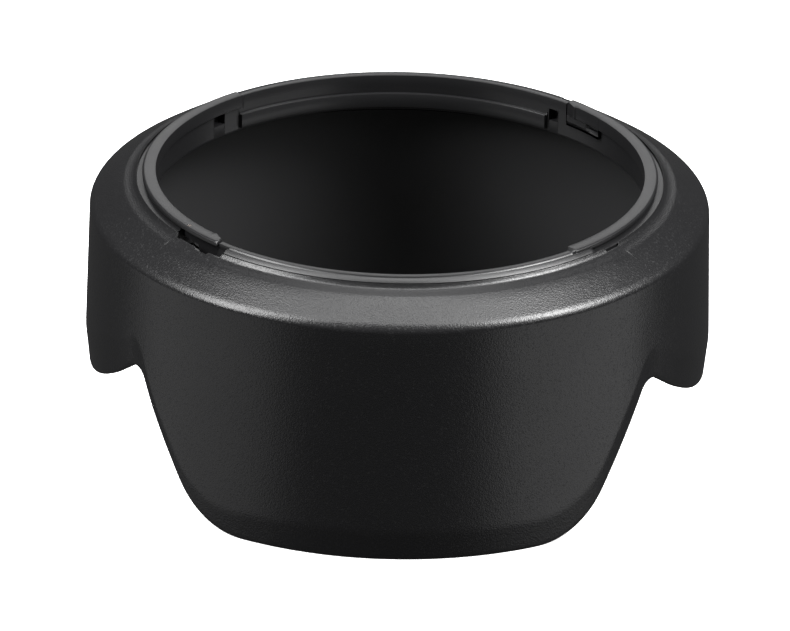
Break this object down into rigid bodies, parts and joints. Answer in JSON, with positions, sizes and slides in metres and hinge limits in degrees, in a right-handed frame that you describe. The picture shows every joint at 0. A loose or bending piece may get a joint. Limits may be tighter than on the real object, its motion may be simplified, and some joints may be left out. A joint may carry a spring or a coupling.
{
  "type": "petal lens hood",
  "caption": "Flared petal lens hood with a bayonet mouth, sprung click tongues at the flange ends and a matte inner lining.",
  "frame": {"origin": "on the optical axis at the tips of the long petals, on which the hood stands", "axes": "+Z along the optical axis to the lens end, long petals at +Y and -Y, short petals at +X and -X"},
  "size_m": [0.0814, 0.0822, 0.0356],
  "materials": {
    "shell_plastic": "finely textured satin black",
    "ring_plastic": "fine satin black",
    "tongue_plastic": "fine satin black",
    "lining": "dead matte black flock",
    "index_paint": "worn warm grey index paint"
  },
  "bodies": {
    "hood": {"petal_shell": "shell_plastic", "bayonet_ring": "ring_plastic", "light_trap_liner": "lining"},
    "left_tongue": {"click_tongue_left": "tongue_plastic", "index_dot": "index_paint"},
    "right_tongue": {"click_tongue_right": "tongue_plastic"}
  },
  "joints": [
    {"name": "left_tongue_flex", "type": "hinge", "parent": "hood", "child": "left_tongue", "pos_m": [-0.02707, -0.01931, 0.0356], "axis": [0, 0, -1], "range_deg": [0, 4.5], "stiffness_Nm_per_rad": 0.33},
    {"name": "right_tongue_flex", "type": "hinge", "parent": "hood", "child": "right_tongue", "pos_m": [0.02707, 0.01931, 0.0356], "axis": [0, 0, -1], "range_deg": [0, 4.5], "stiffness_Nm_per_rad": 0.33}
  ]
}
